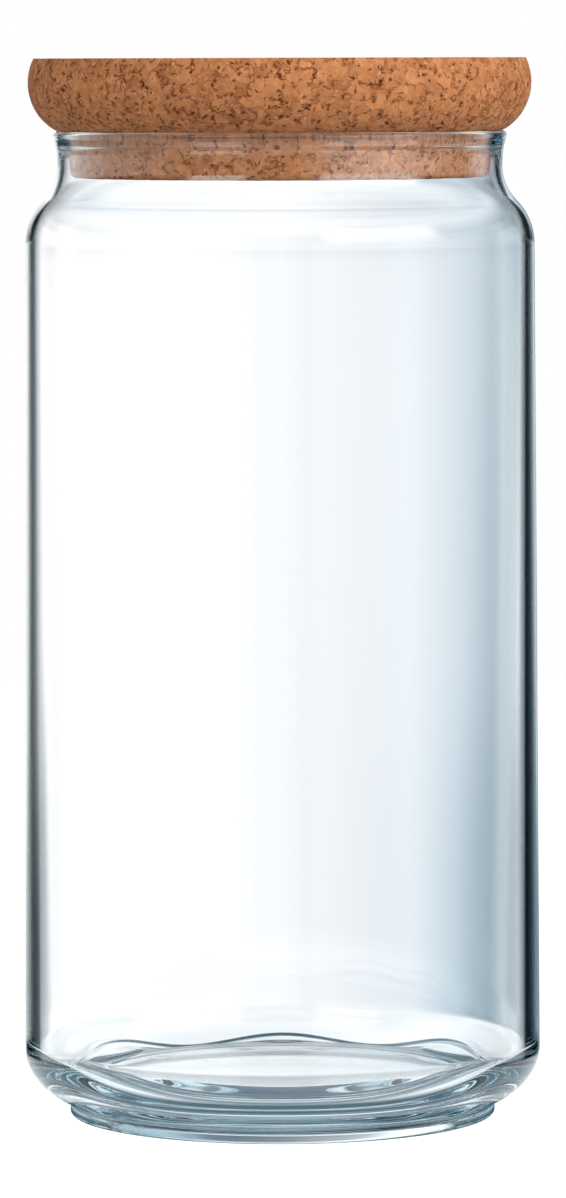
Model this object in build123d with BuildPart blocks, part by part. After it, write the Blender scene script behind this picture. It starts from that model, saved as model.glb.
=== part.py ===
from build123d import *
from math import cos, radians, sin, sqrt
import os

# Storage jar of clear glass with a cork lid, in millimetres, +Z up.
# The origin is the middle of the ring that the jar stands on.
# Both pieces are round about Z. Each is revolved from half outlines drawn in the XZ plane,
# where a point is (radius, height).

# Glass, overall
body_radius = 54.7  # outside, where the side meets the heel
side_lean = 1.1  # how much narrower the body is where the side meets the shoulder
side_bow = 0.03  # how far the middle of a side pulls outwards, on the plug too
jar_height = 208.2  # from the standing ring to the crest of the rim

# Glass, outside of the shoulder, neck and rim
neck_step = 6.8  # from the top of the side in to the neck, where it is narrowest
waist_depth = 7.2  # from the crest down to the narrowest part
shoulder_round = 13.0
neck_round = 10.7
rim_flare = 1.2  # from the neck out to the crest
rim_width = 3.4  # across the crest, with its edges
rim_edge = 0.8

# Glass, outside of the heel and foot
heel_round = 11.7
foot_step = 9.6  # from the side in to the foot
foot_height = 3.4
foot_edge = 0.9

# Glass, underside
ring_width = 3.0  # from the foot's side to the recess
recess_slope_width = 2.4
recess_height = 1.6

# Glass, inside
neck_wall = 1.7
shoulder_wall = 1.9
heel_wall = 2.6
throat_share = 0.6  # of the height from the shoulder's inside up to the waist, how much is upright
floor_height = 8.8  # inner floor above the standing ring
floor_corner = 5.0
mouth_length = 3.4  # straight part of the mouth, below the crest

# Cork lid
head_radius = 53.0  # at its widest
head_height = 15.3
head_side_round = 11.5
head_flare_turn = 40.0  # degrees below the widest part, where the side's round meets the flare
head_flare_height = 2.7  # from the rim up to that place
head_flare_width = 3.3
head_edge = 0.5
plug_length = 10.0
plug_clearance = 0.3  # between the plug and the mouth, on the radius
plug_taper = 0.8  # radius lost from the top of the plug to its end
plug_edge = 1.5

cut_overrun = 2.0  # how far a cut runs past what it cuts


def ogee(low_radius, top_radius, low_round, top_round, top_height):
    """Two arcs that carry an upright line in to a narrower upright line.

    Returns the low end, the point where the arcs meet and the top end.
    The arcs' centres lie one reach apart, on a line through the point where they meet.
    """
    reach = low_round + top_round
    run = reach - (low_radius - top_radius)
    rise = sqrt(reach**2 - run**2)
    low_share = low_round / reach
    low_end = Vector(low_radius, top_height - rise)
    low_centre = low_end - Vector(low_round, 0)
    crossing = low_centre + Vector(run, rise) * low_share
    return low_end, crossing, Vector(top_radius, top_height)


def bowed(low_end, top_end):
    """Control points of a side that bows slightly outwards between its ends."""
    return low_end, (low_end + top_end) / 2 + Vector(side_bow, 0), top_end


# Glass jar: the outside with its recessed underside, less the hollow
waist_height = jar_height - waist_depth
body_top_radius = body_radius - side_lean
neck_radius = body_top_radius - neck_step
rim_radius = neck_radius + rim_flare
mouth_radius = rim_radius - rim_width

foot_radius = body_radius - foot_step
heel_run = heel_round - foot_step
heel_height = foot_height + sqrt(heel_round**2 - heel_run**2)
recess_edge_radius = foot_radius - ring_width
recess_radius = recess_edge_radius - recess_slope_width
outer_shoulder = ogee(body_top_radius, neck_radius, shoulder_round, neck_round, waist_height)

inner_body_radius = body_radius - heel_wall
inner_shoulder = ogee(
    body_top_radius - shoulder_wall,
    neck_radius - neck_wall,
    shoulder_round - shoulder_wall,
    neck_round + neck_wall,
    waist_height,
)
throat_low = inner_shoulder[2] - Vector(0, (waist_height - inner_shoulder[1].Y) * throat_share)

with BuildPart() as glass_jar:
    with BuildSketch(Plane.XZ) as outside:
        with BuildLine():
            recess = Line((0, recess_height), (recess_radius, recess_height))
            slope = Line(recess @ 1, (recess_edge_radius, 0))
            standing_ring = Line(slope @ 1, (foot_radius, 0))
            foot_side = Line(standing_ring @ 1, (foot_radius, foot_height))
            heel_top = Vector(body_radius, heel_height)
            heel = TangentArc(heel_top, foot_side @ 1, tangent=(0, -1))
            side = Bezier(*bowed(heel_top, outer_shoulder[0]))
            shoulder = TangentArc(side @ 1, outer_shoulder[1], tangent=(0, 1))
            neck = TangentArc(shoulder @ 1, outer_shoulder[2], tangent=shoulder % 1)
            flare = Line(neck @ 1, (rim_radius, jar_height))
            crest = Line(flare @ 1, (0, jar_height))
            Line(crest @ 1, recess @ 0)
        make_face()
        foot_corner = outside.vertices().sort_by_distance((foot_radius, 0))[0]
        chamfer(foot_corner, foot_edge)
        rim_corner = outside.vertices().sort_by_distance((rim_radius, jar_height))[0]
        chamfer(rim_corner, rim_edge)
    revolve(axis=Axis.Z)

    with BuildSketch(Plane.XZ):
        with BuildLine():
            inner_floor = Line((0, floor_height), (inner_body_radius - floor_corner, floor_height))
            corner_top = Vector(inner_body_radius, floor_height + floor_corner)
            Line(inner_floor @ 1, corner_top)
            inner_side = Bezier(*bowed(corner_top, inner_shoulder[0]))
            shoulder_inside = Line(inner_side @ 1, inner_shoulder[1])
            neck_inside = Line(shoulder_inside @ 1, throat_low)
            throat = Line(neck_inside @ 1, inner_shoulder[2])
            mouth_low = Line(throat @ 1, (mouth_radius, jar_height - mouth_length))
            mouth = Line(mouth_low @ 1, (mouth_radius, jar_height - rim_edge))
            mouth_edge = Line(mouth @ 1, (mouth_radius + rim_edge, jar_height))
            mouth_top = Line(mouth_edge @ 1, (mouth_radius + rim_edge, jar_height + cut_overrun))
            above = Line(mouth_top @ 1, (0, jar_height + cut_overrun))
            Line(above @ 1, inner_floor @ 0)
        make_face()
    revolve(axis=Axis.Z, mode=Mode.SUBTRACT)

# Cork lid: the head's flat underside lies on the rim, and the plug fills the mouth
head_axis_radius = head_radius - head_side_round
head_flare_angle = radians(head_flare_turn)
head_flare_radius = head_axis_radius + head_side_round * cos(head_flare_angle)
head_widest_height = head_flare_height + head_side_round * sin(head_flare_angle)
head_top_run = sqrt(head_side_round**2 - (head_height - head_widest_height) ** 2)
head_top_radius = head_axis_radius + head_top_run
plug_radius = mouth_radius - plug_clearance
plug_end_radius = plug_radius - plug_taper
plug_end_height = jar_height - plug_length
lid_height = jar_height + head_height

with BuildPart() as cork_lid:
    with BuildSketch(Plane.XZ) as lid_outline:
        with BuildLine():
            plug_end = Line((0, plug_end_height), (plug_end_radius - plug_edge, plug_end_height))
            plug_corner = Line(plug_end @ 1, Vector(plug_end_radius, plug_end_height + plug_edge))
            plug_side = Bezier(*bowed(plug_corner @ 1, Vector(plug_radius, jar_height)))
            seat = Line(plug_side @ 1, (head_flare_radius - head_flare_width, jar_height))
            head_flare = Line(seat @ 1, (head_flare_radius, jar_height + head_flare_height))
            head_side = ThreePointArc(
                head_flare @ 1,
                (head_radius, jar_height + head_widest_height),
                (head_top_radius, lid_height),
            )
            top = Line(head_side @ 1, (0, lid_height))
            Line(top @ 1, plug_end @ 0)
        make_face()
        head_corner = lid_outline.vertices().sort_by_distance((head_top_radius, lid_height))[0]
        chamfer(head_corner, head_edge)
    revolve(axis=Axis.Z)

glass_jar.part.label = "glass_jar"
cork_lid.part.label = "cork_lid"

os.makedirs("parts", exist_ok=True)
export_step(glass_jar.part, "parts/glass_jar.step")
export_step(cork_lid.part, "parts/cork_lid.step")
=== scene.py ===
# Storage jar of clear glass with a cork lid: the finished surfaces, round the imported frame.
# Lengths are in metres, +Z is up, and the middle of the ring that the jar stands on is the origin.
# Both pieces are half outlines carried round Z. An outline is an array of (radius, height) points.
from math import radians, sqrt

import bpy
import numpy as np
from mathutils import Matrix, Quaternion, Vector


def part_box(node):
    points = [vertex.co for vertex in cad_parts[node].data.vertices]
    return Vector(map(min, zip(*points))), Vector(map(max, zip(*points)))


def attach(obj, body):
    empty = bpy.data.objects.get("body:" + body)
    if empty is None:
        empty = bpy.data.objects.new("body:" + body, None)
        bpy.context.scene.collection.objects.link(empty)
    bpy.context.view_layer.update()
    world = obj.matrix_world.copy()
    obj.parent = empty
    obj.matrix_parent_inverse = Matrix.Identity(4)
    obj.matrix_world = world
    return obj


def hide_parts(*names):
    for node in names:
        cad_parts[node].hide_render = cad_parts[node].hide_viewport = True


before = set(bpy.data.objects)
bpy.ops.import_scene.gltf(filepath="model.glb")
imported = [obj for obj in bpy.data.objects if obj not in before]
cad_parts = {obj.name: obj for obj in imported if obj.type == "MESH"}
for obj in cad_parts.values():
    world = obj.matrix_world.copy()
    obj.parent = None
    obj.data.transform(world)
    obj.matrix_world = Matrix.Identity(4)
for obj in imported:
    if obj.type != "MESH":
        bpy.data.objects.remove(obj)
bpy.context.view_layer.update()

bl_info = {
    "name": "Cork lidded glass jar",
    "version": (1, 0, 0),
    "blender": (4, 5, 0),
    "location": "3D View > Sidebar > Jar",
    "description": "Dresses a glass jar and its cork lid, and sets a plain studio round them",
    "category": "Add Mesh",
}

MM = 0.001
CORNER_STEPS = 36  # points on the jar's inner corner, and again on the floor beside it
CALM_STEPS = 8  # points on the rest of the inner floor
JAR_AROUND = 320  # places round Z where the jar's outline stands
LID_AROUND = 600  # and the lid's
TINY = 1e-9  # a length too short to matter, which keeps divisions from 0
PITS = 700  # in the face of the cork
PIT_SEED = 7
PIT_LONG = (0.35 * MM, 0.8 * MM)  # least and greatest reach of a pit along itself
PIT_WIDE = (0.22 * MM, 0.36 * MM)  # and across
JAR_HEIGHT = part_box("glass_jar")[1].z
TOTAL_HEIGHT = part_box("cork_lid")[1].z


def length(name, description, millimetres):
    """A length property whose default is given in millimetres."""
    return bpy.props.FloatProperty(
        name=name, description=description, default=millimetres * MM, unit="LENGTH", precision=5
    )


# Outlines

def line(start, end, steps):
    """Points spaced evenly from start to end, without the end."""
    share = np.linspace(0, 1, steps, endpoint=False)[:, None]
    return np.asarray(start) * (1 - share) + np.asarray(end) * share


def bow(centre, reach, rise, start, end, steps):
    """Points of an oval, without the last: centre + (reach cos t, rise sin t).

    t goes from start to end, in degrees.
    """
    turn = np.radians(np.linspace(start, end, steps, endpoint=False))
    return np.stack([centre[0] + reach * np.cos(turn), centre[1] + rise * np.sin(turn)], 1)


def ease(share):
    """3 u^2 - 2 u^3, which leaves 0 and comes to 1 without a corner."""
    return share * share * (3 - 2 * share)


def eased_line(start, end, steps):
    """Points from start to end, without the end: the height goes evenly, and the radius eases."""
    share = np.linspace(0, 1, steps, endpoint=False)
    radius = start[0] + (end[0] - start[0]) * ease(share)
    return np.stack([radius, start[1] + (end[1] - start[1]) * share], 1)


def ogee_bows(low_radius, top_radius, low_round, top_round, top_height, steps):
    """Two arcs that carry an upright line in to a narrower one, as points from the low end to the top end.

    The arcs' centres lie low_round + top_round apart, and the arcs meet on the line between them.
    """
    reach = low_round + top_round
    run = reach - (low_radius - top_radius)
    rise = sqrt(reach**2 - run**2)
    turn = np.degrees(np.arctan2(rise, run))
    low = bow((low_radius - low_round, top_height - rise), low_round, low_round, 0, turn, steps)
    top = bow((top_radius + top_round, top_height), top_round, top_round, 180 + turn, 180, steps)
    return np.concatenate([low, top])


def leaving_round(run, drop):
    """Radius of an arc that leaves a line smoothly and after a run along it lies a drop away.

    It is (run^2 + drop^2) / (2 drop).
    """
    return (run**2 + drop**2) / (2 * drop)


def carried_round(outline, around):
    """The outline carried round Z: x = r cos a, y = r sin a, z = h, as an (around, points, 3) array."""
    angle = np.linspace(0, 2 * np.pi, around, endpoint=False)[:, None]
    radius, height = outline[:, 0][None], outline[:, 1][None]
    return np.stack([radius * np.cos(angle), radius * np.sin(angle), height + 0 * angle], 2)


def inward_normals(grid):
    """The unit normals of a carried outline, pointing in.

    Each is the outline's direction, turned a quarter to its left.
    """
    along = np.gradient(grid, axis=1)
    radial = grid * np.array([1, 1, 0])
    radial /= np.maximum(np.linalg.norm(radial, axis=2), TINY)[..., None]
    outward_run = (along * radial).sum(axis=2)
    rise = along[..., 2]
    normal = -rise[..., None] * radial
    normal[..., 2] = outward_run
    return normal / np.maximum(np.linalg.norm(normal, axis=2), TINY)[..., None]


def closed_mesh(name, grid):
    """A mesh from an (around, points, 3) grid whose first and last outline points lie on the axis.

    Each pole is one vertex with a fan of triangles, and the rest is quads that wind outwards.
    """
    around, points = grid.shape[:2]
    inner = points - 2
    body = grid[:, 1:-1].reshape(-1, 3)
    vertices = np.concatenate([body, grid[0, :1], grid[0, -1:]])
    here = np.arange(around)[:, None] * inner
    nextwards = (np.arange(around)[:, None] + 1) % around * inner
    step = np.arange(inner - 1)[None]
    quads = np.stack([here + step, nextwards + step, nextwards + step + 1, here + step + 1], 2)
    first, last = len(body), len(body) + 1
    low_fan = np.concatenate([here * 0 + first, nextwards, here], 1)
    top_fan = np.concatenate([here * 0 + last, here + inner - 1, nextwards + inner - 1], 1)
    corners = np.concatenate([quads.reshape(-1), low_fan.reshape(-1), top_fan.reshape(-1)])
    sizes = np.concatenate([np.full(quads.size // 4, 4), np.full(2 * around, 3)])
    mesh = bpy.data.meshes.new(name)
    mesh.vertices.add(len(vertices))
    mesh.vertices.foreach_set("co", vertices.astype(np.float32).reshape(-1))
    mesh.loops.add(len(corners))
    mesh.loops.foreach_set("vertex_index", corners.astype(np.int32))
    mesh.polygons.add(len(sizes))
    mesh.polygons.foreach_set("loop_start", (np.cumsum(sizes) - sizes).astype(np.int32))
    mesh.update(calc_edges=True)
    mesh.polygons.foreach_set("use_smooth", np.ones(len(sizes), bool))
    mesh.validate()
    return mesh


def placed(name, mesh, material, body, node):
    """The mesh as a piece of the object, which rides on a body and stands for a node."""
    piece = bpy.data.objects.new(name, mesh)
    mesh.materials.append(material)
    bpy.context.scene.collection.objects.link(piece)
    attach(piece, body)
    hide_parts(node)


# Shader nodes

def fresh_tree(owner):
    """The empty node tree of a material or world."""
    owner.use_nodes = True
    owner.node_tree.nodes.clear()
    return owner.node_tree


def feed(tree, socket, value):
    """Give an input socket a plain value, or link an output socket to it."""
    if isinstance(value, bpy.types.NodeSocket):
        tree.links.new(value, socket)
    else:
        socket.default_value = value


def node(tree, kind, **settings):
    """A new node. Each setting is a property of the node, or one of its inputs with _ for a space."""
    made = tree.nodes.new(kind)
    for key, value in settings.items():
        if hasattr(made, key):
            setattr(made, key, value)
        else:
            feed(tree, made.inputs[key.replace("_", " ")], value)
    return made


def maths(tree, operation, *values, clamp=False):
    """A Math node's output; each value is a number or a socket."""
    made = node(tree, "ShaderNodeMath", operation=operation, use_clamp=clamp)
    for socket, value in zip(made.inputs, values):
        feed(tree, socket, value)
    return made.outputs[0]


def vector_maths(tree, operation, *values):
    """A Vector Math node; each value is three numbers or a socket."""
    made = node(tree, "ShaderNodeVectorMath", operation=operation)
    for socket, value in zip(made.inputs, values):
        feed(tree, socket, value)
    return made


def smooth_step(tree, value, start, end):
    """0 at start and beyond, 1 at end and beyond, and eased between. Start may be the higher of the two."""
    made = node(tree, "ShaderNodeMapRange", Value=value, From_Min=start, From_Max=end)
    made.interpolation_type = "SMOOTHSTEP"
    return made.outputs[0]


def ramp(tree, factor, stops):
    """A colour ramp's output for a factor socket and (position, colour) stops."""
    made = node(tree, "ShaderNodeValToRGB", Fac=factor)
    elements = made.color_ramp.elements
    while len(elements) > 1:
        elements.remove(elements[-1])
    elements[0].position, elements[0].color = stops[0][0], (*stops[0][1], 1)
    for position, colour in stops[1:]:
        elements.new(position).color = (*colour, 1)
    return made.outputs["Color"]


def weighted_sum(tree, start, parts):
    """A number, plus each socket of the parts times its weight."""
    total = start
    for socket, weight in parts:
        total = maths(tree, "MULTIPLY_ADD", socket, weight, total)
    return total


def blend_colour(tree, factor, first, second, mode="MIX"):
    """A mix of two colours, each of them a socket or three numbers."""
    made = node(tree, "ShaderNodeMix", data_type="RGBA", blend_type=mode)
    feed(tree, made.inputs[0], factor)
    for socket, colour in zip(made.inputs[6:8], (first, second)):
        feed(tree, socket, colour if isinstance(colour, bpy.types.NodeSocket) else (*colour, 1))
    return made.outputs[2]


def blend_shader(tree, factor, first, second):
    """A mix of two shaders, given as nodes, whose share is a socket. It's a node too."""
    made = node(tree, "ShaderNodeMixShader")
    for socket, value in zip(made.inputs, (factor, first.outputs[0], second.outputs[0])):
        feed(tree, socket, value)
    return made


# Glass jar

class JarSettings(bpy.types.PropertyGroup):
    """Sizes and tint of the glass."""

    body_radius: length("Body radius", "Outside, where the side meets the heel", 54.7)
    body_top_radius: length("Body top radius", "Outside, where the side meets the shoulder", 53.6)
    neck_radius: length("Neck radius", "Outside, at the waist", 46.8)
    waist_depth: length("Waist depth", "From the crest of the rim down to the waist", 7.2)
    shoulder_round: length("Shoulder round", "Radius of the shoulder's outward curve", 13.0)
    neck_round: length("Neck round", "Radius of the neck's inward curve", 10.7)
    rim_radius: length("Rim radius", "Where the flare meets the crest", 48.0)
    rim_round: length("Rim round", "Radius of the rim's edges", 0.9)
    heel_height: length("Heel height", "Where the heel leaves the side", 14.5)
    heel_reach: length("Heel reach", "Half the width of the heel's oval", 14.8)
    heel_drop: length("Heel drop", "Half the height of the heel's oval", 12.2)
    foot_radius: length("Foot radius", "Outside of the foot", 45.1)
    foot_height: length("Foot height", "From the table to the step", 3.3)
    foot_round: length("Foot round", "Radius of the standing ring's edges", 0.9)
    ring_width: length("Ring width", "From the foot's side to the edge of the recess", 3.0)
    recess_slope_width: length("Recess slope", "Width of the slope up to the dome", 2.4)
    recess_rim_height: length("Recess height", "Where the slope ends and the dome begins", 1.6)
    dome_height: length("Dome height", "Underside at the middle", 1.7)
    neck_wall: length("Neck wall", "Thickness of the glass at the neck", 1.4)
    shoulder_wall: length("Shoulder wall", "Thickness of the glass under the shoulder", 1.9)
    heel_wall: length("Heel wall", "Thickness of the glass above the heel", 3.1)
    floor_height: length("Floor height", "Inner floor above the table", 9.2)
    floor_round: length("Floor round", "Radius of the inner corner", 7.0)
    mouth_radius: length("Mouth radius", "Inside of the rim", 45.0)
    mouth_length: length("Mouth length", "Straight part of the mouth", 2.6)
    mouth_step: length("Mouth step", "Height over which the mouth widens into the neck", 1.0)
    corner_wave: length("Corner wave", "Rise and fall of the inner corner round the jar", 1.3)
    ridge_height: length("Ridge height", "Low ridge round the inner corner", 1.2)
    ridge_width: length("Ridge width", "Half the width of that ridge", 0.5)
    ridge_reach: length("Ridge reach", "From the foot of the inner corner out to the ridge", -0.9)
    wave_reach: length("Wave reach", "Width of the floor's edge that takes the wave", 7.0)
    tint: bpy.props.FloatVectorProperty(
        name="Tint",
        description="Colour that thick glass shows",
        default=(0.80, 0.905, 0.935),
        subtype="COLOR",
    )
    tint_depth: bpy.props.FloatProperty(
        name="Tint depth", description="Absorption for each metre of glass", default=25.0
    )


def corner_start(points):
    """The place of the inner corner's first point, in a jar's outline of so many points."""
    return points - 1 - CALM_STEPS - 2 * CORNER_STEPS


def jar_outline(s):
    """The jar's half outline: from the middle of the underside out, up, over the rim and down inside.

    The ridge adds ridge height * exp(-((radius - ridge radius) / ridge width)^2) to the floor's height.
    """
    waist = JAR_HEIGHT - s.waist_depth
    ring_edge = s.foot_radius - s.ring_width
    dome_radius = ring_edge - s.recess_slope_width
    dome_drop = s.dome_height - s.recess_rim_height
    dome_round = leaving_round(dome_radius, dome_drop)
    dome_turn = np.degrees(np.arcsin(dome_radius / dome_round))
    round_ = s.foot_round
    outside = [
        bow((0, s.dome_height - dome_round), dome_round, dome_round, 90, 90 - dome_turn, steps=12),
        line((dome_radius, s.recess_rim_height), (ring_edge, 0), steps=4),
        line((ring_edge, 0), (s.foot_radius - round_, 0), steps=4),
        bow((s.foot_radius - round_, round_), round_, round_, -90, 0, steps=8),
        line((s.foot_radius, round_), (s.foot_radius, s.foot_height), steps=4),
    ]
    heel_turn = np.degrees(np.arcsin((s.heel_height - s.foot_height) / s.heel_drop))
    heel_centre = (s.body_radius - s.heel_reach, s.heel_height)
    shoulder = ogee_bows(s.body_top_radius, s.neck_radius, s.shoulder_round, s.neck_round, waist, steps=16)
    outside += [
        bow(heel_centre, s.heel_reach, s.heel_drop, -heel_turn, 0, steps=30),
        line((s.body_radius, s.heel_height), shoulder[0], steps=20),
        shoulder,
    ]
    flare_round = leaving_round(s.waist_depth, s.rim_radius - s.neck_radius)
    edge_turn = np.degrees(np.arcsin((s.waist_depth - s.rim_round) / flare_round))
    flare = bow((s.neck_radius + flare_round, waist), flare_round, flare_round, 180, 180 - edge_turn, steps=8)
    crest = JAR_HEIGHT - s.rim_round
    outer_edge = flare[-1][0] + (flare[-1][0] - flare[-2][0])  # one step on from the flare's last point
    outside += [
        flare,
        bow((outer_edge - s.rim_round, crest), s.rim_round, s.rim_round, 0, 90, steps=8),
        line((outer_edge - s.rim_round, JAR_HEIGHT), (s.mouth_radius + s.rim_round, JAR_HEIGHT), steps=3),
        bow((s.mouth_radius + s.rim_round, crest), s.rim_round, s.rim_round, 90, 180, steps=8),
    ]
    throat = s.neck_radius - s.neck_wall
    step_top = JAR_HEIGHT - s.mouth_length
    top_inside = s.body_top_radius - s.shoulder_wall
    low_inside = s.body_radius - s.heel_wall
    inner_ogee = ogee_bows(
        top_inside, throat, s.shoulder_round - s.shoulder_wall, s.neck_round + s.neck_wall, waist, steps=12
    )
    corner_top = s.floor_height + s.floor_round
    corner_foot = low_inside - s.floor_round
    floor_calm = corner_foot - s.wave_reach
    inside = [
        line((s.mouth_radius, crest), (s.mouth_radius, step_top), steps=3),
        eased_line((s.mouth_radius, step_top), (throat, step_top - s.mouth_step), steps=8),
        line((throat, step_top - s.mouth_step), (throat, waist), steps=3),
        inner_ogee[::-1],
        line(inner_ogee[0], (low_inside, corner_top), steps=24)[1:],
        bow((corner_foot, corner_top), s.floor_round, s.floor_round, 0, -90, steps=CORNER_STEPS),
        line((corner_foot, s.floor_height), (floor_calm, s.floor_height), steps=CORNER_STEPS),
        line((floor_calm, s.floor_height), (0, s.floor_height), steps=CALM_STEPS),
        np.array([[0, s.floor_height]]),
    ]
    outline = np.concatenate(outside + inside)
    edge = outline[corner_start(len(outline)):]
    ridge_radius = corner_foot + s.ridge_reach
    edge[:, 1] += s.ridge_height * np.exp(-(((edge[:, 0] - ridge_radius) / s.ridge_width) ** 2))
    return outline


def wave_shares(points):
    """How much of the corner's wave each outline point takes.

    It eases from 0 to 1 down the inner corner, and back to 0 over the floor beside it.
    """
    up = ease(np.linspace(0, 1, CORNER_STEPS, endpoint=False))
    share = np.zeros(points)
    start = corner_start(points)
    share[start:start + 2 * CORNER_STEPS] = np.concatenate([up, 1 - up])
    return share


def uneven_wave(around):
    """Soft waves round the jar, as a column, with a counted from the back.

    The height is (0.6 + 0.4 cos a) (0.8 cos 6a + 0.2 cos 7a) - cos 2a.
    """
    angle = np.linspace(0, 2 * np.pi, around, endpoint=False)[:, None] - np.pi / 2
    waves = 0.8 * np.cos(6 * angle) + 0.2 * np.cos(7 * angle)
    return (0.6 + 0.4 * np.cos(angle)) * waves - np.cos(2 * angle)


def glass_material(s):
    """Clear glass: sharp refraction, and the tint taken up by depth.

    To shadow rays and to rays off dull faces it is open, and only dims them.
    """
    material = bpy.data.materials.new("clear_glass")
    tree = fresh_tree(material)
    glass = node(
        tree,
        "ShaderNodeBsdfPrincipled",
        Base_Color=(1, 1, 1, 1),
        Roughness=0.0,
        IOR=1.52,
        Transmission_Weight=1.0,
    )
    lets = node(tree, "ShaderNodeBsdfTransparent", Color=(0.965, 0.98, 0.985, 1))
    path = node(tree, "ShaderNodeLightPath")
    open_ = maths(tree, "MAXIMUM", path.outputs["Is Shadow Ray"], path.outputs["Is Diffuse Ray"])
    both = blend_shader(tree, open_, glass, lets)
    depth = node(tree, "ShaderNodeVolumeAbsorption", Color=(*s.tint, 1), Density=s.tint_depth)
    node(tree, "ShaderNodeOutputMaterial", Surface=both.outputs[0], Volume=depth.outputs[0])
    return material


class JAR_OT_glass(bpy.types.Operator):
    """Make the glass jar"""

    bl_idname = "jar.glass"
    bl_label = "Glass Jar"

    def execute(self, context):
        """Carry the jar's outline round Z, with the slight wave that moulded glass has inside."""
        s = context.scene.jar_glass
        outline = jar_outline(s)
        grid = carried_round(outline, JAR_AROUND)
        grid[..., 2] += s.corner_wave * wave_shares(len(outline)) * uneven_wave(JAR_AROUND)
        mesh = closed_mesh("glass_jar_surface", grid)
        placed("glass_jar_surface", mesh, glass_material(s), "jar", "glass_jar")
        return {"FINISHED"}


# Cork lid

class LidSettings(bpy.types.PropertyGroup):
    """Sizes and colours of the cork lid."""

    head_radius: length("Head radius", "Widest part of the head", 53.0)
    head_widest_height: length("Widest height", "Above the crest of the rim", 10.1)
    head_side_round: length("Side round", "Radius of the head's side", 11.5)
    plug_length: length("Plug length", "From the head down to the end of the plug", 10.0)
    plug_radius: length("Plug radius", "At the rim", 44.7)
    plug_taper: length("Plug taper", "Radius lost by the end of the plug", 0.5)
    plug_edge_round: length("Plug edge", "Radius of the plug's lower edge", 1.6)
    unevenness: length("Unevenness", "How far the face of the cork wanders", 0.16)
    pit_depth: length("Pit depth", "Depth of the larger pits", 0.5)
    light_cork: bpy.props.FloatVectorProperty(
        name="Light cork", description="Pale granules", default=(0.60, 0.25, 0.10), subtype="COLOR"
    )
    dark_cork: bpy.props.FloatVectorProperty(
        name="Dark cork", description="Dark granules", default=(0.33, 0.115, 0.042), subtype="COLOR"
    )


def lid_outline(s):
    """The lid's half outline, from the middle of the plug's end out and up to the middle of the top."""
    axis = s.head_radius - s.head_side_round
    widest = JAR_HEIGHT + s.head_widest_height
    low_turn = np.degrees(np.arcsin(s.head_widest_height / s.head_side_round))
    top_turn = np.degrees(np.arcsin((TOTAL_HEIGHT - widest) / s.head_side_round))
    low_radius = axis + s.head_side_round * np.cos(np.radians(low_turn))
    top_radius = axis + s.head_side_round * np.cos(np.radians(top_turn))
    end = JAR_HEIGHT - s.plug_length
    end_radius = s.plug_radius - s.plug_taper
    edge = s.plug_edge_round
    return np.concatenate([
        line((0, end), (end_radius - edge, end), steps=34),
        bow((end_radius - edge, end + edge), edge, edge, -90, 0, steps=6),
        line((end_radius, end + edge), (s.plug_radius, JAR_HEIGHT), steps=16),
        line((s.plug_radius, JAR_HEIGHT), (low_radius, JAR_HEIGHT), steps=4),
        bow((axis, widest), s.head_side_round, s.head_side_round, -low_turn, top_turn, steps=36),
        line((top_radius, TOTAL_HEIGHT), (0, TOTAL_HEIGHT), steps=52),
        np.array([[0, TOTAL_HEIGHT]]),
    ])


def lattice_noise(points, cell, seed):
    """Smooth noise from -1 to 1: random values at the corners of a grid of cells, eased between them.

    Large odd numbers stir a corner's place and the seed into 16 bits, which are its random value.
    """
    place = points / cell
    corner = np.floor(place).astype(np.int64)
    share = ease(place - corner)
    total = np.zeros(len(points))
    for x in (0, 1):
        for y in (0, 1):
            for z in (0, 1):
                at = corner + np.array([x, y, z])
                mixed = at[:, 0] * 73856093 ^ at[:, 1] * 19349663 ^ at[:, 2] * 83492791 ^ seed * 2654435761
                mixed = (mixed ^ (mixed >> 13)) * 1274126177 & 0x7FFFFFFF
                mixed = (mixed ^ (mixed >> 16)) & 0xFFFF
                near = np.abs(np.array([1 - x, 1 - y, 1 - z]) - share).prod(axis=1)
                total += near * (mixed / 32767.5 - 1)
    return total


def pitted(points, centres, directions, longs, wides):
    """How deep each point lies in the nearest pit, from 0 to 1: a pit is exp(-(a/long)^2 - (b/wide)^2).

    a is the distance from the pit's centre along its direction, and b is the distance across it.
    """
    depth = np.zeros(len(points))
    for centre, direction, long, wide in zip(centres, directions, longs, wides):
        near = np.nonzero(np.abs(points - centre).max(axis=1) < 3 * long)[0]
        away = points[near] - centre
        along = away @ direction
        across = np.sqrt(np.maximum((away**2).sum(axis=1) - along**2, 0))
        depth[near] = np.maximum(depth[near], np.exp(-((along / long) ** 2) - (across / wide) ** 2))
    return depth


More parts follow.
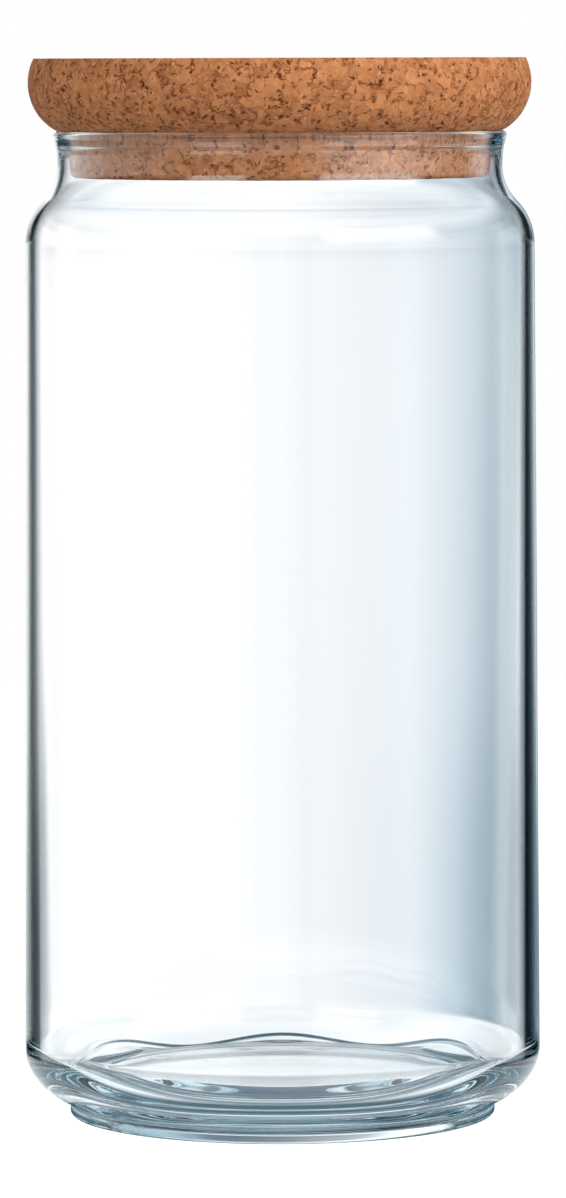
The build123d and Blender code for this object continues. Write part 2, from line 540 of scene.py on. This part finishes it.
def cork_grain():
    """A node group: granules of cork from a position, as a tone, an edge, a pit, a fleck and a height."""
    group = bpy.data.node_groups.new("cork_grain", "ShaderNodeTree")
    interface = group.interface
    interface.new_socket("Position", in_out="INPUT", socket_type="NodeSocketVector")
    for name in ("Tone", "Edge", "Pit", "Fleck", "Height"):
        interface.new_socket(name, in_out="OUTPUT", socket_type="NodeSocketFloat")
    come = node(group, "NodeGroupInput")
    give = node(group, "NodeGroupOutput")
    straight = come.outputs[0]

    sway_reach = 0.0034  # how far the cells' places are pushed about, which makes their edges ragged
    sway = node(group, "ShaderNodeTexNoise", Vector=straight, Scale=420.0, Detail=3.0)
    middle = vector_maths(group, "SUBTRACT", sway.outputs["Color"], (0.5, 0.5, 0.5))
    swayed = vector_maths(group, "MULTIPLY_ADD", middle.outputs[0], (sway_reach,) * 3, straight).outputs[0]

    def cells(scale, feature="F1"):
        """Cells over the swayed places, as a node."""
        return node(
            group, "ShaderNodeTexVoronoi", feature=feature, Vector=swayed, Scale=scale, Randomness=1.0
        )

    def noise(scale, detail):
        """Soft noise over the straight places."""
        return node(group, "ShaderNodeTexNoise", Vector=straight, Scale=scale, Detail=detail).outputs["Fac"]

    def channel(cell, name):
        """One channel of the colour that each cell draws by lot."""
        return node(group, "ShaderNodeSeparateColor", Color=cell.outputs["Color"]).outputs[name]

    def product(first, second):
        """One value times another."""
        return maths(group, "MULTIPLY", first, second)

    # Cells to each metre
    granules, crumbs, dots, specks = 330.0, 850.0, 900.0, 980.0
    granule_tone = channel(cells(granules), "Red")
    crumb_tone = channel(cells(crumbs), "Green")
    border = cells(granules, "DISTANCE_TO_EDGE").outputs["Distance"]
    small_border = cells(crumbs, "DISTANCE_TO_EDGE").outputs["Distance"]
    mottle = noise(1500.0, 4.0)
    broad = noise(60.0, 2.0)

    tone = weighted_sum(group, -0.27, (
        (granule_tone, 0.36), (crumb_tone, 0.40), (mottle, 0.50), (broad, 0.25),
    ))
    group.links.new(tone, give.inputs["Tone"])

    # Seams run between granules and, in patches, between crumbs. Noise breaks them up.
    broken = smooth_step(group, noise(700.0, 3.0), 0.50, 0.62)
    patches = smooth_step(group, noise(330.0, 2.0), 0.56, 0.68)
    seam = product(smooth_step(group, border, 0.10, 0.015), broken)
    small_seam = product(smooth_step(group, small_border, 0.09, 0.01), patches)
    edge = maths(group, "MAXIMUM", seam, small_seam)
    group.links.new(edge, give.inputs["Edge"])

    # Pits and flecks are a few chosen cells of their own, which gather along the seams.
    gather = maths(group, "MULTIPLY_ADD", smooth_step(group, border, 0.26, 0.10), 0.8, 0.2)
    dot = cells(dots)
    chosen = smooth_step(group, channel(dot, "Blue"), 0.76, 0.84)
    pit = product(product(chosen, smooth_step(group, dot.outputs["Distance"], 0.40, 0.22)), gather)
    group.links.new(pit, give.inputs["Pit"])
    speck = cells(specks)
    chosen = smooth_step(group, channel(speck, "Red"), 0.74, 0.82)
    fleck = product(product(chosen, smooth_step(group, speck.outputs["Distance"], 0.45, 0.18)), gather)
    group.links.new(fleck, give.inputs["Fleck"])

    height = weighted_sum(group, 0.0, (
        (edge, -0.55), (pit, -1.0), (fleck, 0.25), (mottle, 0.30), (granule_tone, 0.55), (crumb_tone, 0.45),
    ))
    group.links.new(height, give.inputs["Height"])
    return group


def cork_material(s):
    """Pressed cork: tinted granules, dark broken seams and pits, and pale flecks, on a dry rough face."""
    material = bpy.data.materials.new("pressed_cork")
    tree = fresh_tree(material)
    place = node(tree, "ShaderNodeTexCoord")
    grain = node(tree, "ShaderNodeGroup", node_tree=cork_grain(), Position=place.outputs["Object"])
    hollow = node(tree, "ShaderNodeAttribute", attribute_name="pit")
    dark, light = tuple(s.dark_cork), tuple(s.light_cork)
    middle = tuple(0.5 * (a + b) for a, b in zip(dark, light))
    pale, seam, hole = (0.70, 0.38, 0.20), (0.19, 0.05, 0.014), (0.11, 0.024, 0.006)
    colour = ramp(tree, grain.outputs["Tone"], [(0.10, dark), (0.42, middle), (0.85, light)])
    colour = blend_colour(tree, maths(tree, "MULTIPLY", grain.outputs["Fleck"], 0.7), colour, pale)
    colour = blend_colour(tree, maths(tree, "MULTIPLY", grain.outputs["Edge"], 0.72), colour, seam)
    deep = maths(tree, "MAXIMUM", grain.outputs["Pit"], hollow.outputs["Fac"])
    colour = blend_colour(tree, maths(tree, "MULTIPLY", deep, 0.9, clamp=True), colour, hole)
    bump = node(
        tree, "ShaderNodeBump", Strength=1.0, Distance=0.38 * MM, Height=grain.outputs["Height"]
    )
    cork = node(
        tree,
        "ShaderNodeBsdfPrincipled",
        Base_Color=colour,
        Roughness=maths(tree, "MULTIPLY_ADD", grain.outputs["Tone"], -0.2, 0.86),
        Specular_IOR_Level=0.18,
        Normal=bump.outputs[0],
    )
    node(tree, "ShaderNodeOutputMaterial", Surface=cork.outputs[0])
    return material


class JAR_OT_lid(bpy.types.Operator):
    """Make the cork lid"""

    bl_idname = "jar.lid"
    bl_label = "Cork Lid"

    def execute(self, context):
        """Carry the lid's outline round Z, press its face in unevenly and open pits in it."""
        s = context.scene.jar_lid
        grid = carried_round(lid_outline(s), LID_AROUND)
        points = grid.reshape(-1, 3)
        chance = np.random.default_rng(PIT_SEED)
        # Pits lie from near the edge of the plug's end, round the head, to near the middle of the top.
        first, last = 30, grid.shape[1] - 12
        turns = chance.integers(0, LID_AROUND, PITS)
        centres = grid[turns, chance.integers(first, last, PITS)]
        towards = chance.normal(size=(PITS, 3))
        towards /= np.linalg.norm(towards, axis=1)[:, None]
        longs = chance.uniform(*PIT_LONG, PITS)
        wides = chance.uniform(*PIT_WIDE, PITS)
        depth = pitted(points, centres, towards, longs, wides)
        broad = lattice_noise(points, cell=4.1 * MM, seed=3)
        fine = lattice_noise(points, cell=1.3 * MM, seed=5)
        inwards = s.unevenness * (0.5 + 0.25 * broad + 0.25 * fine) + s.pit_depth * depth
        points += inward_normals(grid).reshape(-1, 3) * inwards[:, None]
        mesh = closed_mesh("cork_lid_surface", grid)
        marks = mesh.attributes.new("pit", "FLOAT", "POINT")
        kept = depth.reshape(grid.shape[:2])  # in the order of the mesh's vertices, with the two poles last
        kept = np.concatenate([kept[:, 1:-1].reshape(-1), kept[0, :1], kept[0, -1:]])
        marks.data.foreach_set("value", kept.astype(np.float32))
        placed("cork_lid_surface", mesh, cork_material(s), "lid", "cork_lid")
        return {"FINISHED"}


# Studio

class StudioSettings(bpy.types.PropertyGroup):
    """Where the camera stands and how it looks at the jar."""

    camera_distance: bpy.props.FloatProperty(
        name="Camera distance", description="From the jar's axis", default=1.430, unit="LENGTH"
    )
    focal_length: bpy.props.FloatProperty(
        name="Focal length", description="On a 36 mm sensor", default=203.8, unit="CAMERA"
    )
    camera_roll: bpy.props.FloatProperty(
        name="Camera roll",
        description="Turn of the camera about its own axis",
        default=radians(-0.17),
        unit="ROTATION",
    )
    aim_right: length("Aim right", "How far right of the jar's axis the camera looks", 0.4)
    aim_share: bpy.props.FloatProperty(
        name="Aim height", description="Where on the axis, as a share of the total height", default=0.4892
    )


SURROUND = 2.5  # strength of what glass sees, so that the ramps' values can stay under 1

# Brightness round the jar against degrees to the right of straight behind it
ROUND_THE_JAR = [
    (-180, (0.10, 0.10, 0.10)),
    (-126, (0.15, 0.15, 0.15)),
    (-116, (0.55, 0.55, 0.55)),
    (-58, (1.20, 1.20, 1.20)),
    (-43, (1.45, 1.45, 1.45)),
    (-38, (0.90, 0.90, 0.90)),
    (-34, (0.35, 0.38, 0.40)),
    (-26, (0.01, 0.03, 0.035)),
    (-20, (0.01, 0.03, 0.035)),
    (-16.5, (0.75, 0.75, 0.75)),
    (-13, (1.15, 1.15, 1.15)),
    (0.1, (1.14, 1.15, 1.17)),
    (0.7, (1.01, 1.03, 1.055)),
    (2, (0.81, 0.86, 0.90)),
    (4.2, (0.63, 0.74, 0.83)),
    (6.6, (0.33, 0.46, 0.55)),
    (8.5, (0.35, 0.48, 0.57)),
    (11, (0.54, 0.66, 0.73)),
    (14.5, (0.80, 0.90, 0.95)),
    (18, (0.02, 0.03, 0.04)),
    (38, (0.0, 0.01, 0.02)),
    (43, (0.5, 0.6, 0.7)),
    (49, (1.1, 1.15, 1.2)),
    (58, (1.0, 1.0, 1.0)),
    (68, (0.3, 0.3, 0.3)),
    (85, (0.6, 0.6, 0.6)),
    (120, (2.0, 2.0, 2.0)),
    (132, (1.7, 1.7, 1.7)),
    (158, (0.8, 0.8, 0.8)),
    (165, (0.55, 0.55, 0.55)),
    (168, (0.12, 0.12, 0.12)),
    (180, (0.10, 0.10, 0.10)),
]

# What part of that brightness is left behind the foot of the jar, where flags stand
LOW_FLAGS = [
    (-46, (1.0, 1.0, 1.0)),
    (-40, (0.20, 0.25, 0.28)),
    (-16, (0.15, 0.20, 0.22)),
    (-14, (0.60, 0.66, 0.70)),
    (-12.5, (1.0, 1.0, 1.0)),
    (0, (1.0, 1.0, 1.0)),
    (3, (0.94, 0.95, 0.96)),
    (5, (0.70, 0.79, 0.82)),
    (7, (0.70, 0.78, 0.81)),
    (9, (1.0, 1.0, 1.0)),
    (9.8, (1.0, 1.0, 1.0)),
    (11, (0.50, 0.60, 0.65)),
    (13, (0.26, 0.38, 0.44)),
    (21, (0.30, 0.42, 0.50)),
    (40, (0.30, 0.42, 0.50)),
    (44, (1.0, 1.0, 1.0)),
]


def window(tree, value, low, high, soft):
    """1 between low and high, easing to 0 over soft on either side."""
    up = smooth_step(tree, value, low - soft, low)
    down = smooth_step(tree, value, high + soft, high)
    return maths(tree, "MULTIPLY", up, down)


def ramp_by_turn(tree, turn, stops):
    """A ramp whose stops are (degrees to the right of straight behind the jar, colour)."""
    share = maths(tree, "MULTIPLY_ADD", turn, 1 / 360, 0.5)
    return ramp(tree, share, [((degrees + 180) / 360, colour) for degrees, colour in stops])


def ramp_by_rise(tree, rise, stops):
    """A ramp whose stops are (degrees above the level, colour)."""
    share = maths(tree, "MULTIPLY_ADD", rise, 1 / 180, 0.5)
    return ramp(tree, share, [((degrees + 90) / 180, colour) for degrees, colour in stops])


def seen_by_glass(tree, turn, rise):
    """The colour of the cards, flags and soft boxes, before the surround's strength.

    The cards stand round the jar. Below and above them lie two plainer zones, and two soft boxes are added.
    """
    white, black = (1, 1, 1), (0, 0, 0)
    cards = ramp_by_turn(tree, turn, [(a, tuple(v / SURROUND for v in c)) for a, c in ROUND_THE_JAR])
    flags = ramp_by_turn(tree, turn, LOW_FLAGS)
    cards = blend_colour(tree, smooth_step(tree, rise, -5.4, -7.4), cards, flags, "MULTIPLY")
    grey = (0.75, 0.78, 0.81)
    veil = ramp_by_rise(tree, rise, [(-2.0, white), (-1.2, grey), (0.5, grey), (2.5, white)])
    cards = blend_colour(tree, 1.0, cards, veil, "MULTIPLY")

    pale, dark = (0.4, 0.4, 0.4), (0.03, 0.06, 0.08)
    lower = ramp_by_rise(tree, rise, [(-45, pale), (-38, dark), (-32, dark), (-28, pale)])
    below = ramp_by_rise(tree, rise, [(-16, white), (-11, black)])
    sky = blend_colour(tree, below, cards, lower)

    upper = ramp_by_rise(tree, rise, [
        (21, (0.012, 0.028, 0.038)),
        (27, (0.5, 0.5, 0.5)),
        (42, (0.55, 0.56, 0.57)),
        (50, (0.22, 0.25, 0.27)),
        (62, (0.10, 0.12, 0.13)),
    ])
    blue = (0.2, 0.34, 0.42)
    leftward = ramp_by_turn(tree, turn, [(-160, white), (-130, blue), (-15, blue), (10, white)])
    upper = blend_colour(tree, 1.0, upper, leftward, "MULTIPLY")
    above = ramp_by_rise(tree, rise, [(10, black), (13, white)])
    sky = blend_colour(tree, above, sky, upper)

    right_box = maths(tree, "MULTIPLY", window(tree, turn, 108, 152, 12), window(tree, rise, 16, 24, 9))
    left_box = maths(tree, "MULTIPLY", window(tree, turn, -158, -134, 7), window(tree, rise, 15, 25, 4))
    boxes = weighted_sum(tree, 0.0, ((right_box, 1.25), (left_box, 0.95)))
    return blend_colour(tree, 1.0, sky, boxes, "ADD")


def studio_world():
    """White to the camera, even grey to dull faces, and cards, flags and soft boxes to glass."""
    world = bpy.data.worlds.new("studio")
    bpy.context.scene.world = world
    tree = fresh_tree(world)
    place = node(tree, "ShaderNodeTexCoord")
    split = node(tree, "ShaderNodeSeparateXYZ", Vector=place.outputs["Generated"])
    azimuth = maths(tree, "ARCTAN2", split.outputs["X"], split.outputs["Y"])
    turn = maths(tree, "MULTIPLY", azimuth, 180 / np.pi)
    rise = maths(tree, "MULTIPLY", maths(tree, "ARCSINE", split.outputs["Z"]), 180 / np.pi)
    surround = node(tree, "ShaderNodeBackground", Color=seen_by_glass(tree, turn, rise), Strength=SURROUND)
    even = node(tree, "ShaderNodeBackground", Color=(1, 1, 1, 1), Strength=0.53)
    plain = node(tree, "ShaderNodeBackground", Color=(1, 1, 1, 1), Strength=1.0)
    path = node(tree, "ShaderNodeLightPath")
    unseen = blend_shader(tree, path.outputs["Is Diffuse Ray"], surround, even)
    both = blend_shader(tree, path.outputs["Is Camera Ray"], unseen, plain)
    node(tree, "ShaderNodeOutputWorld", Surface=both.outputs[0])


def studio_floor():
    """A plain pale floor that the camera sees as white less the jar's shadow.

    Glass sees the floor only under and close round the jar, as a glow with a painted shadow ring under the
    foot.
    """
    half = 1.0
    corners = [(-half, -half, 0), (half, -half, 0), (half, half, 0), (-half, half, 0)]
    mesh = bpy.data.meshes.new("floor")
    mesh.from_pydata(corners, [], [(0, 1, 2, 3)])
    material = bpy.data.materials.new("pale_floor")
    tree = fresh_tree(material)
    path = node(tree, "ShaderNodeLightPath")

    # What the camera sees, and what dull faces see
    paint = node(tree, "ShaderNodeBsdfDiffuse", Color=(0.8, 0.8, 0.8, 1))
    glow = node(tree, "ShaderNodeEmission", Strength=0.55)
    seen = node(tree, "ShaderNodeAddShader")
    for socket, shader in zip(seen.inputs, (paint, glow)):
        tree.links.new(shader.outputs[0], socket)
    dim = node(tree, "ShaderNodeBsdfDiffuse", Color=(0.45, 0.45, 0.45, 1))
    pale = blend_shader(tree, path.outputs["Is Camera Ray"], dim, seen)

    # What glass sees, by metres from the axis: white with a painted shadow, a dark ring under the foot, and
    # no floor far out
    place = node(tree, "ShaderNodeTexCoord")
    away = vector_maths(tree, "LENGTH", place.outputs["Object"]).outputs["Value"]
    # The dark ring is a painted shadow: the jar's shadow on the table under its foot, given as a colour of
    # the glow
    white, painted_shadow = (1.05, 1.10, 1.13), (0.03, 0.105, 0.155)
    painted_shadow_rings = ramp(tree, away, [(0.036, white), (0.0395, painted_shadow), (0.0478, painted_shadow), (0.0490, white)])
    bright = node(tree, "ShaderNodeEmission", Color=painted_shadow_rings, Strength=1.0)
    gone = node(tree, "ShaderNodeBsdfTransparent")
    far = ramp(tree, away, [(0.090, (0, 0, 0)), (0.110, (1, 1, 1))])
    ends = blend_shader(tree, far, bright, gone)

    through = maths(tree, "MAXIMUM", path.outputs["Is Transmission Ray"], path.outputs["Is Glossy Ray"])
    both = blend_shader(tree, through, pale, ends)
    node(tree, "ShaderNodeOutputMaterial", Surface=both.outputs[0])
    mesh.materials.append(material)
    floor = bpy.data.objects.new("floor", mesh)
    bpy.context.scene.collection.objects.link(floor)


def studio_camera(s):
    """A camera level with the lid's top, tipped down until the jar fills the frame."""
    data = bpy.data.cameras.new("camera")
    data.lens = s.focal_length
    data.sensor_width = 36
    camera = bpy.data.objects.new("camera", data)
    bpy.context.scene.collection.objects.link(camera)
    place = Vector((0, -s.camera_distance, TOTAL_HEIGHT))
    aim = Vector((s.aim_right, 0, TOTAL_HEIGHT * s.aim_share))
    camera.location = place
    level = (aim - place).to_track_quat("-Z", "Y")
    camera.rotation_euler = (level @ Quaternion((0, 0, 1), s.camera_roll)).to_euler()
    data.clip_start = 0.05
    bpy.context.scene.camera = camera


def studio_lamp(name, azimuth, elevation, distance, width, height, radiance):
    """A soft box: azimuth is counted from the camera's side of the jar, to the right."""
    data = bpy.data.lights.new(name, "AREA")
    data.shape = "RECTANGLE"
    data.size, data.size_y = width, height
    data.energy = radiance * np.pi * width * height
    lamp = bpy.data.objects.new(name, data)
    bpy.context.scene.collection.objects.link(lamp)
    turn, rise = radians(azimuth), radians(elevation)
    toward = Vector((np.sin(turn) * np.cos(rise), -np.cos(turn) * np.cos(rise), np.sin(rise)))
    lid_top = Vector((0, 0, TOTAL_HEIGHT))
    lamp.location = lid_top + toward * distance
    lamp.rotation_euler = toward.to_track_quat("Z", "Y").to_euler()
    lamp.visible_camera = False
    lamp.visible_glossy = False
    lamp.visible_transmission = False


class JAR_OT_studio(bpy.types.Operator):
    """Set the floor, the light and the camera"""

    bl_idname = "jar.studio"
    bl_label = "Studio"

    def execute(self, context):
        """Place the stage round the jar."""
        scene = context.scene
        scene.view_settings.view_transform = "Standard"
        scene.cycles.caustics_reflective = False
        scene.cycles.caustics_refractive = False
        scene.cycles.max_bounces = 32
        scene.cycles.glossy_bounces = 24
        scene.cycles.transmission_bounces = 32
        scene.cycles.transparent_max_bounces = 16
        studio_world()
        studio_floor()
        studio_lamp(
            "key_soft_box", azimuth=55, elevation=26, distance=1.0, width=0.7, height=0.6, radiance=5.4
        )
        studio_lamp(
            "fill_soft_box", azimuth=-30, elevation=22, distance=1.0, width=0.5, height=0.5, radiance=3.3
        )
        studio_camera(scene.jar_studio)
        return {"FINISHED"}


class JAR_PT_panel(bpy.types.Panel):
    """The jar's pieces and its studio"""

    bl_label = "Jar"
    bl_idname = "JAR_PT_panel"
    bl_space_type = "VIEW_3D"
    bl_region_type = "UI"
    bl_category = "Jar"

    def draw(self, context):
        """List the operators with their settings."""
        for operator, settings in (
            ("jar.glass", context.scene.jar_glass),
            ("jar.lid", context.scene.jar_lid),
            ("jar.studio", context.scene.jar_studio),
        ):
            box = self.layout.box()
            box.operator(operator)
            for name in settings.bl_rna.properties.keys():
                if name not in ("rna_type", "name"):
                    box.prop(settings, name)


CLASSES = (JarSettings, LidSettings, StudioSettings, JAR_OT_glass, JAR_OT_lid, JAR_OT_studio, JAR_PT_panel)


def register():
    """Register the classes and hang the settings on the scene."""
    for cls in CLASSES:
        bpy.utils.register_class(cls)
    bpy.types.Scene.jar_glass = bpy.props.PointerProperty(type=JarSettings)
    bpy.types.Scene.jar_lid = bpy.props.PointerProperty(type=LidSettings)
    bpy.types.Scene.jar_studio = bpy.props.PointerProperty(type=StudioSettings)


def unregister():
    """Undo register."""
    del bpy.types.Scene.jar_studio, bpy.types.Scene.jar_lid, bpy.types.Scene.jar_glass
    for cls in reversed(CLASSES):
        bpy.utils.unregister_class(cls)


def main():
    """Make the pieces and the stage."""
    register()
    bpy.ops.jar.glass()
    bpy.ops.jar.lid()
    bpy.ops.jar.studio()


if __name__ == "__main__":
    main()
